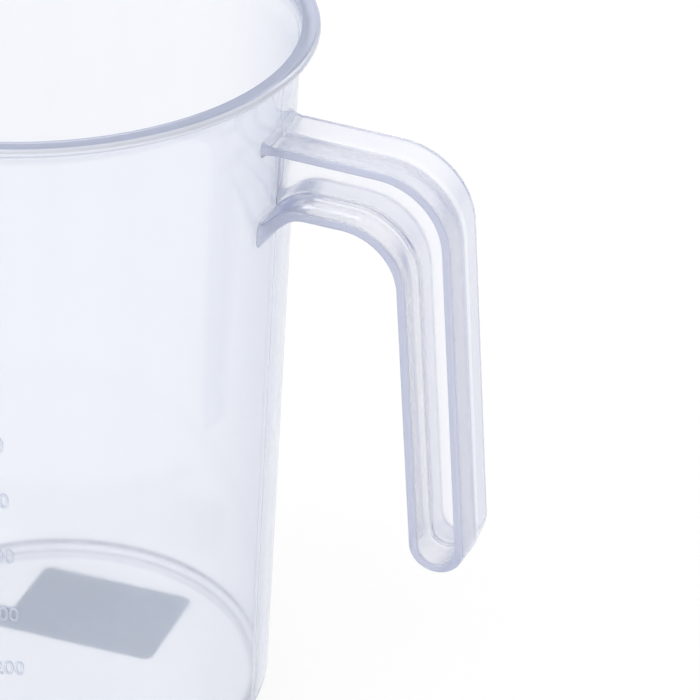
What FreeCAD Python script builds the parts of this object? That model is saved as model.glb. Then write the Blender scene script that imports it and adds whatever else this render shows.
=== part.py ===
"""One-litre measuring pitcher for mixing baby formula, moulded in clear polypropylene.

Lengths are millimetres and angles are degrees.  +Z is up.  The origin is the centre of
the standing ring on the table, on the axis of the vessel.  The handle points along +X
and the pouring spout along -X.  The mould parts on the plane Y = 0.
"""
import FreeCAD, Part
import math
import os

V = FreeCAD.Vector

# ---- vessel ---------------------------------------------------------------------
height = 160.0            # table to the top of the lip
base_radius = 47.55       # outside of the wall, carried down to the table
wall_draft = 2.37         # lean of the wall away from upright
wall = 1.5                # thickness of the wall, the flare and the spout
corner_radius = 6.0       # outside bend between wall and base
floor_radius = 1.6        # inside bend between wall and floor
base_thickness = 3.7
ring_height = 0.3         # low standing ring round the rim of the base panel
ring_width = 0.6
flare_height = 7.0        # band below the lip where the wall opens like a bell
flare_out = 1.6           # how far that band opens beyond the straight wall

# ---- lip ------------------------------------------------------------------------
lip_height = 2.0
lip_overhang = 2.3        # beyond the outside of the flare
lip_round = 0.6           # bevel that rounds off the outer edges of the lip
lip_inner_round = 0.5     # the same on its inner top edge

# ---- spout ----------------------------------------------------------------------
spout_height = 36.0       # from the lip's underside down to where the beak dies out
spout_reach = 10.5        # beak beyond the wall, just under the lip
spout_nose = 8.5          # outside radius of the beak's tip, just under the lip
spout_cheek = 11.0        # outside radius of the hollow cheeks beside the beak
spout_sink = 0.5          # depth of the beak's foot inside the wall

# ---- handle: a hairpin strap round a thin web -------------------------------------
handle_width = 16.0       # across the strap, along Y
strap = 1.9               # thickness of the strap at its two free edges
crown = 0.50              # rise of the strap's open face at the parting line
web_crown = 0.35          # the same on the side that faces the web
web = 1.3                 # thickness of the web
handle_drop = 16.9        # lip's top down to the sharp corner of the strap's outer face
arm_slope = 3.3           # fall of the outer arm
grip_lean = 4.0           # lean of both legs of the grip, outward as they go down
outer_bend = 16.4         # radius of the outer face round the upper bend
grip_depth = 9.85         # open face of the outer leg to the web face of the inner leg
inner_drop = 12.2         # outer corner down to the inner strap's corner, web face
inner_slope = 2.5         # fall of the inner arm
inner_bend = 14.3         # radius of the inner strap's web face round its bend
end_height = 54.7         # table up to the bottom of the grip
neck_out = 8.5            # wall to where the inner arm starts to curve down
inner_run = 7.7           # straight length of the inner arm between neck and bend
neck_angle = 42.0         # how steeply the inner arm then runs down to the wall
neck_radius = 5.6         # underside of that curve
neck_strap = 2.6          # thickness of the strap where it reaches the wall
foot_length = 2.2         # flared root of each strap, measured out from the wall
foot_flare = 0.9          # how far that root spreads on each side

# ---- graduations ----------------------------------------------------------------
mark_step = 100.0         # millilitres from one line to the next
mark_full = 1000.0        # millilitres at the highest line
mark_length = 11.0
mark_half_length = 6.0    # the lines halfway between two full ones
mark_width = 0.5
mark_rise = 0.25

# ---- label ----------------------------------------------------------------------
label_length = 37.0
label_width = 26.0
label_corner = 2.2
label_shift = 0.45        # middle of the label from the vessel's axis, towards the handle
label_clearance = 0.15    # outer corners of the label to the standing ring
label_thickness = 0.15
tab_length = 12.0         # narrow tail of the label, on the spout's side
tab_width = 7.6

# ---- derived sizes ----------------------------------------------------------------
slope = math.tan(math.radians(wall_draft))
lip_under = height - lip_height
flare_start = lip_under - flare_height
panel_under = ring_height
floor_top = ring_height + base_thickness
flats = 3                 # a small bend that runs all round is turned in this many flats
bend_run = 0.4            # each bend runs on straight by this much before its joint
deep = 12.0               # how far a piece runs on into the vessel before it is trimmed


def unit(angle):
    """Direction in the XZ plane, measured up from +X."""
    a = math.radians(angle)
    return V(math.cos(a), 0, math.sin(a))


def straight_radius(z):
    """Outside of the straight wall at height z."""
    return base_radius + slope * z


# The flare is one arc, tangent to the straight wall and flare_out beyond it at the top.
flare_foot = V(straight_radius(flare_start), 0, flare_start)
flare_top = V(straight_radius(lip_under) + flare_out, 0, lip_under)


def flare_arc(inset):
    """The flare's arc as (centre, radius), inset from the outside by a thickness."""
    along = V(slope, 0, 1).normalize()
    out = V(along.z, 0, -along.x)
    chord = flare_top - flare_foot
    radius = chord.dot(chord) / (2.0 * chord.dot(out))
    return flare_foot + out * radius, radius + inset


def outside_radius(z):
    """Outside of the wall at height z, the flare included."""
    if z <= flare_start:
        return straight_radius(z)
    centre, radius = flare_arc(0.0)
    return centre.x - math.sqrt(radius ** 2 - (z - centre.z) ** 2)


def line(a, b):
    return Part.LineSegment(a, b).toShape()


def arc(a, m, b):
    return Part.Arc(a, m, b).toShape()


def polygon(points):
    return Part.makePolygon(points + [points[0]])


def revolve(edges):
    return Part.Face(Part.Wire(edges)).revolve(V(0, 0, 0), V(0, 0, 1), 360)


def prism(wire, y0, y1):
    """Solid between two planes across Y from a wire drawn on the plane Y = 0."""
    face = Part.Face(wire)
    face.translate(V(0, y0, 0))
    return face.extrude(V(0, y1 - y0, 0))


# ---- vessel ---------------------------------------------------------------------
def wall_bend(radius, level, inset):
    """Bend from a flat level up to the wall: its start, middle and end."""
    # A circle that touches the level stands this far from the wall's own line.
    lean = math.radians(wall_draft)
    centre_z = level + radius
    wall_x = straight_radius(centre_z) - inset / math.cos(lean)
    centre = V(wall_x - radius / math.cos(lean), 0, centre_z)
    angles = (-90.0, -45.0 - wall_draft / 2.0, -wall_draft)
    return [centre + unit(angle) * radius for angle in angles]


def outer_bend_points():
    return wall_bend(corner_radius, 0.0, 0.0)


def floor_bend_points():
    return wall_bend(floor_radius, floor_top, wall)


def in_flats(edge, count):
    """Chords of an arc, from its first end to its last."""
    points = edge.discretize(count + 1)
    return [line(points[i], points[i + 1]) for i in range(count)]


def arc_in_flats(a, m, b):
    return in_flats(arc(a, m, b), flats)


def wall_line(inset, z):
    """Point on the straight wall, inset square to it, at height z."""
    lean = math.radians(wall_draft)
    return V(straight_radius(z) - inset / math.cos(lean), 0, z)


def wall_start():
    """Height at which both bends have run out into the straight wall."""
    return max(outer_bend_points()[2].z, floor_bend_points()[2].z) + bend_run


def ring_outer():
    """Radius at which both bends have run out into the flat base."""
    return min(outer_bend_points()[0].x, floor_bend_points()[0].x) - bend_run


def make_base_corner():
    """Ring that turns from the wall into the base, down to the table."""
    outer = outer_bend_points()
    inner = floor_bend_points()
    top = wall_start()
    low_out = V(ring_outer(), 0, 0)
    low_in = V(ring_outer(), 0, floor_top)
    edges = [line(low_out, outer[0])] + arc_in_flats(*outer)
    edges += [line(outer[2], wall_line(0.0, top)),
              line(wall_line(0.0, top), wall_line(wall, top)),
              line(wall_line(wall, top), inner[2])]
    edges += arc_in_flats(*reversed(inner))
    edges += [line(inner[0], low_in), line(low_in, low_out)]
    return revolve(edges)


def make_standing_ring():
    radius = ring_outer()
    outer = Part.makeCylinder(radius, ring_height)
    return outer.cut(Part.makeCylinder(radius - ring_width, ring_height))


def make_base_panel():
    """Flat floor of the vessel, carried by the standing ring."""
    return Part.makeCylinder(ring_outer(), base_thickness, V(0, 0, panel_under))


def make_vessel_wall():
    outer = [wall_line(0.0, wall_start()), wall_line(0.0, flare_start)]
    inner = [wall_line(wall, wall_start()), wall_line(wall, flare_start)]
    return revolve([line(outer[0], outer[1]), line(outer[1], inner[1]),
                    line(inner[1], inner[0]), line(inner[0], outer[0])])


def flare_curve(inset):
    """Bell curve of the flare from the straight wall up to the lip."""
    centre, radius = flare_arc(inset)
    start = wall_line(inset, flare_start)
    points = [start]
    for z in (flare_start + 0.55 * flare_height, lip_under):
        points.append(V(centre.x - math.sqrt(radius ** 2 - (z - centre.z) ** 2), 0, z))
    return points


def make_rim_flare():
    outer = flare_curve(0.0)
    inner = flare_curve(wall)
    return revolve(arc_in_flats(*outer) + [line(outer[2], inner[2])]
                   + arc_in_flats(*reversed(inner)) + [line(inner[0], outer[0])])


def make_vessel_core():
    """Everything inside the outer surface of wall and flare, used to trim other pieces."""
    low, middle, high = outer_bend_points()
    outer = flare_curve(0.0)
    top = V(outer[2].x, 0, height)
    edges = [line(V(0, 0, 0), low)] + arc_in_flats(low, middle, high)
    edges += [line(high, outer[0])] + arc_in_flats(*outer)
    edges += [line(outer[2], top), line(top, V(0, 0, height)),
              line(V(0, 0, height), V(0, 0, 0))]
    return revolve(edges)


# ---- spout ----------------------------------------------------------------------
def spout_outline(z, body, nose, cheek, reach):
    """Beak at height z: a nose arc between two hollow cheeks that run into the body.

    body, nose and cheek are radii; reach is how far the nose stands beyond the body.
    The fourth edge closes the outline across the inside of the vessel.
    """
    nose_x = -(body + reach - nose)
    far = body + cheek
    near = nose + cheek
    # The cheek's centre lies at set distances from the body's axis and the nose's.
    x = (far ** 2 - near ** 2 + nose_x ** 2) / (2.0 * nose_x)
    y = math.sqrt(far ** 2 - x ** 2)
    cheek_centre = V(x, y, 0)
    nose_centre = V(nose_x, 0, 0)
    on_body = cheek_centre * (body / far)
    on_nose = nose_centre + (cheek_centre - nose_centre) * (nose / near)
    middle = cheek_centre + ((on_body + on_nose) * 0.5 - cheek_centre).normalize() * cheek
    tip = V(nose_x - nose, 0, 0)
    upper = [on_body, middle, on_nose]
    lower = [V(p.x, -p.y, 0) for p in reversed(upper)]
    lift = V(0, 0, z)
    edges = [arc(*[p + lift for p in upper]),
             arc(on_nose + lift, tip + lift, lower[0] + lift),
             arc(*[p + lift for p in lower]),
             line(lower[2] + lift, on_body + lift)]
    return edges, on_body


def spout_block(inset):
    """The beak as a solid block, its surface inset by a thickness.

    It narrows from the lip down to a point a little inside the wall, so that it comes
    out of the wall along a clean curve.
    """
    edges, _ = spout_outline(lip_under, outside_radius(lip_under) - inset,
                             spout_nose - inset, spout_cheek + inset, spout_reach)
    cheek, tip, other_cheek, chord = edges
    top = Part.Wire(in_flats(cheek, 2 * flats) + in_flats(tip, 4 * flats)
                    + in_flats(other_cheek, 2 * flats) + [chord])
    foot = lip_under - spout_height
    point = Part.Vertex(V(spout_sink + inset - straight_radius(foot), 0, foot))
    return Part.makeLoft([point, top], True, True)


def make_spout(core):
    return spout_block(0.0).cut(spout_block(wall)).cut(core)


# ---- lip ------------------------------------------------------------------------
def lip_outline(inset):
    """Closed outline of the rim in plan, spout included, inset from the wall's outside."""
    body = outside_radius(lip_under) - inset
    edges, on_body = spout_outline(lip_under, body, spout_nose - inset,
                                   spout_cheek + inset, spout_reach)
    lift = V(0, 0, lip_under)
    back = arc(V(on_body.x, -on_body.y, 0) + lift, V(body, 0, 0) + lift, on_body + lift)
    return Part.Wire(edges[:3] + [back])


def make_lip():
    """Flat lip with a rounded outer edge, all round the rim and out along the spout."""
    outer = Part.Face(lip_outline(-lip_overhang)).extrude(V(0, 0, lip_height))
    rounded = outer.makeChamfer(lip_round, level_edges(outer, (lip_under, height)))
    inner = Part.Face(lip_outline(wall)).extrude(V(0, 0, lip_height))
    ring = rounded.cut(inner)
    inner_edges = []
    for edge in level_edges(ring, (height,)):
        middle = edge.valueAt((edge.FirstParameter + edge.LastParameter) / 2.0)
        if inner.distToShape(Part.Vertex(middle))[0] < 0.01:
            inner_edges.append(edge)
    return ring.makeChamfer(lip_inner_round, inner_edges)


def level_edges(shape, heights):
    """Edges of a shape that lie flat at one of the given heights."""
    found = []
    for edge in shape.Edges:
        box = edge.BoundBox
        if box.ZLength < 0.001 and min(abs(box.ZMin - z) for z in heights) < 0.001:
            found.append(edge)
    return found


# ---- handle ---------------------------------------------------------------------
class Station:
    """A point on the strap's open face, with the direction in towards the web."""

    def __init__(self, point, inward, thick=None):
        self.point = point
        self.inward = inward
        self.thick = strap if thick is None else thick

    def at(self, offset, y=0.0):
        return self.point + self.inward * offset + V(0, y, 0)


def crossing(p, d, q, e):
    """Where the line from p along d meets the line from q along e."""
    span = q - p
    t = (span.x * e.z - span.z * e.x) / (d.x * e.z - d.z * e.x)
    return p + d * t


def corner_run(before, after, radius):
    """Distance from a sharp corner back to where an arc in it starts."""
    return radius * math.tan(math.acos(before.dot(after)) / 2.0)


def rounded_corner(corner, before, after, radius):
    """Start, middle and end of an arc in a corner, plus its centre."""
    turn = math.acos(before.dot(after))
    run = corner_run(before, after, radius)
    start = corner - before * run
    end = corner + after * run
    centre = corner + (after - before).normalize() * (radius / math.cos(turn / 2.0))
    middle = centre + (corner - centre).normalize() * radius
    return start, middle, end, centre


def plan_handle():
    """Stations along the hairpin: out along the outer arm, down, round and back.

    Also gives each bend's centre and its turn about +Y, in radians.
    """
    arm = unit(-arm_slope)
    down = unit(-90 + grip_lean)
    into_arm = V(arm.z, 0, -arm.x)
    into_grip = V(down.z, 0, -down.x)

    # The inner strap sets how far the handle stands out: wall, neck, arm and bend.
    in_arm = unit(-inner_slope)
    up = down * -1
    back = in_arm * -1
    inner_z = height - handle_drop - inner_drop
    reach = neck_out + inner_run * in_arm.x + corner_run(up, back, inner_bend) * in_arm.x
    inner_corner = V(outside_radius(inner_z) + reach, 0, inner_z)
    b1, bm, b2, bc = rounded_corner(inner_corner, up, back, inner_bend)

    # The outer strap runs grip_depth outside the inner one.
    level = V(0, 0, height - handle_drop)
    corner = crossing(inner_corner - into_grip * grip_depth, down, level, V(1, 0, 0))
    a1, am, a2, ac = rounded_corner(corner, arm, down, outer_bend)
    s = {}
    bends = {'outer': (ac, math.acos(arm.dot(down))), 'inner': (bc, -math.acos(up.dot(back)))}
    root = corner - arm * run_to_wall(corner + into_arm * (strap / 2.0), arm * -1)
    s['outer_root'] = Station(root, into_arm)
    s['outer_foot'] = Station(root + arm * foot_length, into_arm)
    s['outer_a'] = Station(a1, into_arm)
    s['outer_m'] = Station(am, (ac - am).normalize())
    s['outer_b'] = Station(a2, into_grip)

    # The end bend joins the two legs with one half circle.
    end_radius = (grip_depth + strap) / 2.0
    end_line = corner + into_grip * end_radius
    drop = (end_line.z - end_height - end_radius) / -down.z
    end_centre = end_line + down * drop
    s['end_a'] = Station(end_centre - into_grip * end_radius, into_grip)
    s['end_m'] = Station(end_centre + down * end_radius, down * -1)
    s['end_b'] = Station(end_centre + into_grip * end_radius, into_grip * -1)
    bends['end'] = (end_centre, math.pi)

    # The inner strap was laid out on its web face and is now moved to its open face.
    away = V(up.z, 0, -up.x)
    s['inner_a'] = Station(b1 - away * strap, away)
    s['inner_m'] = Station(bm + (bc - bm).normalize() * strap, (bm - bc).normalize())
    up_arm = V(back.z, 0, -back.x)
    s['inner_b'] = Station(b2 - up_arm * strap, up_arm)

    # Near the wall the inner arm curves down like a goose neck.
    start = s['inner_b'].point + back * inner_run
    centre = start - up_arm * neck_radius
    turn = neck_angle + inner_slope
    bends['neck'] = (centre, -math.radians(turn))
    s['neck_a'] = Station(start, up_arm)
    mid_dir = unit(90 - inner_slope + turn / 2.0)
    end_dir = unit(90 - inner_slope + turn)
    s['neck_m'] = Station(centre + mid_dir * neck_radius, mid_dir, (strap + neck_strap) / 2)
    s['neck_b'] = Station(centre + end_dir * neck_radius, end_dir, neck_strap)
    run = V(-end_dir.z, 0, end_dir.x)
    wall_point = s['neck_b'].point + run * run_to_wall(s['neck_b'].at(neck_strap / 2), run)
    s['inner_foot'] = Station(wall_point - run * foot_length, end_dir, neck_strap)
    s['inner_root'] = Station(wall_point, end_dir, neck_strap)
    return s, bends


def run_to_wall(point, direction):
    """Distance from a point, along a direction, to the outside of the straight wall."""
    # wall: x - slope * z = base_radius
    rate = direction.x - slope * direction.z
    return (base_radius - (point.x - slope * point.z)) / rate


def strap_section(station, spread=0.0):
    """Cross section of the strap: thickest at the parting line, drafted to both edges.

    spread widens it on every side.
    """
    half = handle_width / 2.0 + spread
    low = -spread
    high = station.thick + spread
    return polygon([station.at(low, -half), station.at(low - crown, 0),
                    station.at(low, half), station.at(high, half),
                    station.at(high + web_crown, 0), station.at(high, -half)])


def straight_length(a, b):
    return Part.Face(strap_section(a)).extrude(b.point - a.point)


def bend_length(a, bend):
    centre, turn = bend
    return Part.Face(strap_section(a)).revolve(centre, V(0, 1, 0), math.degrees(turn))


def neck_length(a, bend, end_thick):
    """The goose neck: a bend whose thickness grows as it comes to the wall."""
    centre, turn = bend
    sections = []
    for i in range(2 * flats + 1):
        share = i / (2.0 * flats)
        thick = a.thick + (end_thick - a.thick) * share
        section = strap_section(Station(a.point, a.inward, thick))
        section.rotate(centre, V(0, 1, 0), math.degrees(turn * share))
        sections.append(section)
    return Part.makeLoft(sections, True, True)


def make_foot(root, tip, core):
    """Flared root of a strap, seated on the outside of the wall."""
    run = root.point - tip.point
    sections = []
    for i in range(flats + 1):
        # A quarter circle opens the root out, slowly at first and then fast.
        share = i / float(flats)
        spread = foot_flare * (1.0 - math.sqrt(1.0 - share ** 2))
        here = Station(tip.point + run * share, tip.inward, tip.thick)
        sections.append(strap_section(here, spread))
    inside = Station(root.point + run.normalize() * deep, root.inward, root.thick)
    sections.append(strap_section(inside, foot_flare))
    return Part.makeLoft(sections, True, True).cut(core)


def make_strap(s, bends, core):
    return {
        'handle_outer_foot': make_foot(s['outer_root'], s['outer_foot'], core),
        'handle_outer_arm': straight_length(s['outer_foot'], s['outer_a']),
        'handle_outer_bend': bend_length(s['outer_a'], bends['outer']),
        'handle_outer_leg': straight_length(s['outer_b'], s['end_a']),
        'handle_end_bend': bend_length(s['end_a'], bends['end']),
        'handle_inner_leg': straight_length(s['end_b'], s['inner_a']),
        'handle_inner_bend': bend_length(s['inner_a'], bends['inner']),
        'handle_inner_arm': straight_length(s['inner_b'], s['neck_a']),
        'handle_neck': neck_length(s['neck_a'], bends['neck'], neck_strap),
        'handle_neck_run': straight_length(s['neck_b'], s['inner_foot']),
        'handle_inner_foot': make_foot(s['inner_root'], s['inner_foot'], core),
    }


def half_in(station):
    """Point in the middle of the strap's thickness, where the web is trimmed off."""
    return station.at(station.thick / 2.0)


def web_piece(edges, neighbours):
    plate = prism(Part.Wire(edges), -web / 2.0, web / 2.0)
    return largest(plate.cut(neighbours))


def largest(shape):
    solids = sorted(shape.Solids, key=lambda solid: solid.Volume)
    return solids[-1]


def make_web(s, straps, core):
    """Thin web on the parting plane, filling the hairpin from the wall to its end."""
    into_wall = V(-deep, 0, 0)
    outer_root, outer_a, outer_b = [half_in(s[k]) for k in ('outer_root', 'outer_a', 'outer_b')]
    inner_a, inner_b = half_in(s['inner_a']), half_in(s['inner_b'])
    neck_a, neck_b, inner_root = [half_in(s[k]) for k in ('neck_a', 'neck_b', 'inner_root')]
    arm = [line(outer_root + into_wall, outer_a), line(outer_a, inner_b),
           line(inner_b, neck_a), arc(neck_a, half_in(s['neck_m']), neck_b),
           line(neck_b, inner_root), line(inner_root, inner_root + into_wall),
           line(inner_root + into_wall, outer_root + into_wall)]
    bend = [arc(outer_a, half_in(s['outer_m']), outer_b), line(outer_b, inner_a),
            arc(inner_a, half_in(s['inner_m']), inner_b), line(inner_b, outer_a)]
    end_a, end_b = half_in(s['end_a']), half_in(s['end_b'])
    leg = [line(outer_b, end_a), arc(end_a, half_in(s['end_m']), end_b),
           line(end_b, inner_a), line(inner_a, outer_b)]
    neighbours = [core] + list(straps.values())
    return {'handle_web_arm': web_piece(arm, neighbours),
            'handle_web_bend': web_piece(bend, neighbours),
            'handle_web_leg': web_piece(leg, neighbours)}


# ---- graduations ----------------------------------------------------------------
def filled_height(volume_ml):
    """Height of the liquid above the table for a volume, in thin slices."""
    target = volume_ml * 1000.0
    z = floor_top
    step = 0.05
    held = 0.0
    while held < target:
        radius = straight_radius(z + step / 2.0) - wall
        held += math.pi * radius ** 2 * step
        z += step
    return z - step * (held - target) / (math.pi * radius ** 2 * step)


def mark_block(z, length):
    """Block that reaches out through the wall on the side the scale is on."""
    depth = straight_radius(z) + mark_rise + 1.0
    return Part.makeBox(length, depth, mark_width,
                        V(-length / 2.0, -depth, z - mark_width / 2.0))


def make_marks():
    """Raised lines at each step of the scale, standing on the outside of the wall."""
    low = wall_line(0.0, wall_start())
    high = wall_line(0.0, flare_start)
    rise = V(mark_rise, 0, 0)
    shell = revolve([line(low, high), line(high, high + rise),
                     line(high + rise, low + rise), line(low + rise, low)])
    marks = []
    count = int(round(2 * mark_full / mark_step))
    for i in range(2, count + 1):
        z = filled_height(mark_step * i / 2.0)
        length = mark_length if i % 2 == 0 else mark_half_length
        if z + mark_width < flare_start:
            marks.append(shell.common(mark_block(z, length)))
    return Part.makeCompound([solid for mark in marks for solid in mark.Solids])


# ---- label ----------------------------------------------------------------------
def rounded_plate(x0, x1, y0, y1, z0, thickness, radius):
    plate = Part.makeBox(x1 - x0, y1 - y0, thickness, V(x0, y0, z0))
    upright = [e for e in plate.Edges if e.BoundBox.ZLength > thickness / 2.0]
    return plate.makeFillet(radius, upright)


def make_label():
    """Film label under the base panel, with a narrow tail."""
    z = panel_under - label_thickness
    left = label_shift - label_length / 2.0
    right = label_shift + label_length / 2.0
    # The centre of the farther outer corner lies on a circle inside the standing ring.
    reach = ring_outer() - ring_width - label_clearance - label_corner
    high = math.sqrt(reach ** 2 - (right - label_corner) ** 2) + label_corner
    low = high - label_width
    body = rounded_plate(left, right, low, low + label_width, z, label_thickness,
                         label_corner)
    tail = rounded_plate(left - tab_length, left + 2 * label_corner, low,
                         low + tab_width, z, label_thickness, label_corner)
    return body.fuse(tail).removeSplitter()


def build():
    core = make_vessel_core()
    opening = spout_block(wall)
    plan, bends = plan_handle()
    straps = make_strap(plan, bends, core)
    nodes = {
        'standing_ring': make_standing_ring(),
        'base_panel': make_base_panel(),
        'base_corner': make_base_corner(),
        'vessel_wall': make_vessel_wall().cut(opening),
        'rim_flare': make_rim_flare().cut(opening),
        'rim_lip': make_lip(),
        'pour_spout': make_spout(core),
        'graduation_marks': make_marks(),
        'base_label': make_label(),
    }
    nodes.update(straps)
    nodes.update(make_web(plan, straps, core))
    return nodes


def main():
    os.makedirs("parts", exist_ok=True)
    for name, shape in build().items():
        shape.exportStep("parts/" + name + ".step")
        box = shape.BoundBox
        print("%-18s solids %d valid %s volume %9.2f  x %7.2f %7.2f  y %7.2f %7.2f  z %7.2f %7.2f"
              % (name, len(shape.Solids), shape.isValid(), shape.Volume, box.XMin, box.XMax,
                 box.YMin, box.YMax, box.ZMin, box.ZMax))


main()
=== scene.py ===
# %% [markdown]
# # A clear measuring pitcher in Blender
#
# The object is a one-litre pitcher for mixing baby formula. It is moulded in one shot
# from natural polypropylene: a plain tapered vessel, a rolled lip with a pouring spout,
# a hairpin handle stiffened by a thin web, and a raised scale. A plain film label sits
# under the base.
#
# Clear plastic shows every surface inside it. The solids of the frame meet face to face,
# and those inner faces would show as lines through the plastic. So this lesson builds
# each region again as one continuous skin, on the same sizes as the solids.

# %% Open the frame
import bpy
import math
from functools import lru_cache
from mathutils import Matrix, Vector


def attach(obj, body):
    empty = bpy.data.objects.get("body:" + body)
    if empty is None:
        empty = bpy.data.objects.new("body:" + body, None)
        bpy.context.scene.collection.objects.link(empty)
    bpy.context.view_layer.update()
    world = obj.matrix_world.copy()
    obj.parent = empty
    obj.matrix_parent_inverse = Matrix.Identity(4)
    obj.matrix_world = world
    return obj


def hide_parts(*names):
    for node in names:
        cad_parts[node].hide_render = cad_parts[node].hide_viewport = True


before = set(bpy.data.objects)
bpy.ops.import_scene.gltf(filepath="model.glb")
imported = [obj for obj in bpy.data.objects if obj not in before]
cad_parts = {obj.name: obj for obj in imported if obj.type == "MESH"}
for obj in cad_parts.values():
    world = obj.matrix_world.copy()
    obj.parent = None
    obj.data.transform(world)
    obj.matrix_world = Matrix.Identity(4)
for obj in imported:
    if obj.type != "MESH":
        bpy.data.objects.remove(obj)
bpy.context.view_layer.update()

# %% [markdown]
# ## Sizes
#
# A moulding is drawn in millimetres, and Blender works in metres here. All sizes are kept
# in millimetres, as on the drawing, and turned into metres only when a mesh is made.

# %% Drawing sizes in millimetres
MM = 0.001

height = 160.0            # table to the top of the lip
base_radius = 47.55       # outside of the wall, carried down to the table
draft = 2.37              # lean of the wall, in degrees
wall = 1.5
corner_radius = 6.0       # outside bend between wall and base
floor_radius = 1.6        # inside bend between wall and floor
floor_top = 4.0
flare_height = 7.0
flare_out = 1.6
lip_height = 2.0
lip_overhang = 2.3
spout_height = 36.0
spout_reach = 10.5
spout_nose = 8.5
spout_cheek = 11.0
spout_sink = 0.5

slope = math.tan(math.radians(draft))
lip_under = height - lip_height
flare_start = lip_under - flare_height
spout_foot = lip_under - spout_height
print("lip underside at", lip_under, "mm, flare starts at", flare_start, "mm")

# %% [markdown]
# ## Meshes from rows of points
#
# Every skin here is a sheet of points in rows, joined by quads. It could be drawn with
# curves and modifiers, but points worked out from the drawing's sizes follow them
# exactly, so two helpers make the meshes.

# %% Helpers for skins
def grid_faces(rows, columns, closed, first=0):
    """Quads between rows of points; closed joins the last column to the first."""
    faces = []
    for i in range(rows - 1):
        here, there = first + i * columns, first + (i + 1) * columns
        for j in range(columns if closed else columns - 1):
            k = (j + 1) % columns
            faces.append((here + j, here + k, there + k, there + j))
    return faces


def mesh_piece(name, points, faces, smooth=True):
    """An object from points in millimetres."""
    mesh = bpy.data.meshes.new(name)
    mesh.from_pydata([(x * MM, y * MM, z * MM) for x, y, z in points], [], faces)
    mesh.validate()
    mesh.update()
    for polygon in mesh.polygons:
        polygon.use_smooth = smooth
    piece = bpy.data.objects.new(name, mesh)
    bpy.context.scene.collection.objects.link(piece)
    return piece


print("two rows of four points, closed:", grid_faces(2, 4, True))

# %% [markdown]
# ## Radius of the wall
#
# The wall is a cone with a small lean, so that the moulding slides off its core. Near the
# top it opens like a bell, along an arc that is tangent to the cone. One function gives
# the outside radius at any height, and each other piece uses it to sit on the wall.

# %% Outside radius at a height
def straight_radius(z):
    return base_radius + slope * z


flare_foot = (straight_radius(flare_start), flare_start)
flare_rim = (straight_radius(lip_under) + flare_out, lip_under)
out_x, out_z = math.cos(math.radians(draft)), -math.sin(math.radians(draft))
chord_x, chord_z = flare_rim[0] - flare_foot[0], flare_rim[1] - flare_foot[1]
bell = (chord_x ** 2 + chord_z ** 2) / (2.0 * (chord_x * out_x + chord_z * out_z))
bell_centre = (flare_foot[0] + out_x * bell, flare_foot[1] + out_z * bell)


def outside_radius(z, inset=0.0):
    """Outside of wall and flare at height z, moved inward by inset."""
    if z <= flare_start + out_z * -inset:
        return straight_radius(z) - inset / out_x
    z = min(z, lip_under)
    return bell_centre[0] - math.sqrt((bell + inset) ** 2 - (z - bell_centre[1]) ** 2)


print("wall radius at the table %.2f, under the lip %.2f"
      % (outside_radius(0), outside_radius(lip_under)))

# %% [markdown]
# ## Plan of the rim with its spout
#
# Seen from above, the spout is a round nose that runs into the rim through two hollow
# cheeks. Lower down it shrinks towards a point in the wall. For each direction from the
# axis we need one radius, so the beak's outline is drawn as short chords, and a ray from
# the axis is tested against them.

# %% Beak outline
arc_steps = 24            # chords in a cheek and in half the nose


@lru_cache(maxsize=None)
def beak_outline(inset):
    """Points of the beak's plan under the lip, moved inward by inset."""
    body = outside_radius(lip_under) - inset
    nose = spout_nose - inset
    cheek = spout_cheek + inset
    nose_x = -(body + spout_reach - nose)
    far, near = body + cheek, nose + cheek
    x = (far ** 2 - near ** 2 + nose_x ** 2) / (2.0 * nose_x)
    y = math.sqrt(far ** 2 - x ** 2)
    cheek_start = math.atan2(-y, -x)
    cheek_end = math.atan2(-y, nose_x - x)
    if cheek_end > cheek_start:
        cheek_end -= 2 * math.pi
    half = []
    for i in range(arc_steps + 1):
        a = cheek_start + (cheek_end - cheek_start) * i / arc_steps
        half.append((x + cheek * math.cos(a), y + cheek * math.sin(a)))
    nose_start = math.atan2(y, x - nose_x)
    for i in range(1, arc_steps + 1):
        a = nose_start + (math.pi - nose_start) * i / arc_steps
        half.append((nose_x + nose * math.cos(a), nose * math.sin(a)))
    return half + [(px, -py) for px, py in reversed(half[:-1])]


print("points in the beak's outline:", len(beak_outline(0.0)))

# %% [markdown]
# A boolean could join the beak to the wall, but it leaves ragged faces along the seam. The
# larger of two radii in each direction joins them cleanly, with a fillet in between.

# %% Reach of the beak in one direction
def ray_reach(points, angle):
    """Farthest crossing of a ray from the axis with an open chain of points, or 0."""
    c, s = math.cos(angle), math.sin(angle)
    best = 0.0
    for (ax, ay), (bx, by) in zip(points, points[1:]):
        side_a, side_b = c * ay - s * ax, c * by - s * bx
        if side_a * side_b <= 0.0 and side_a != side_b:
            t = side_a / (side_a - side_b)
            along = c * (ax + (bx - ax) * t) + s * (ay + (by - ay) * t)
            best = max(best, along)
    return best


beak_sector = math.radians(30)    # the beak stays within this of its own direction
beak_fillet = 2.4                 # reach of the fillet at the beak's foot


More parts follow.
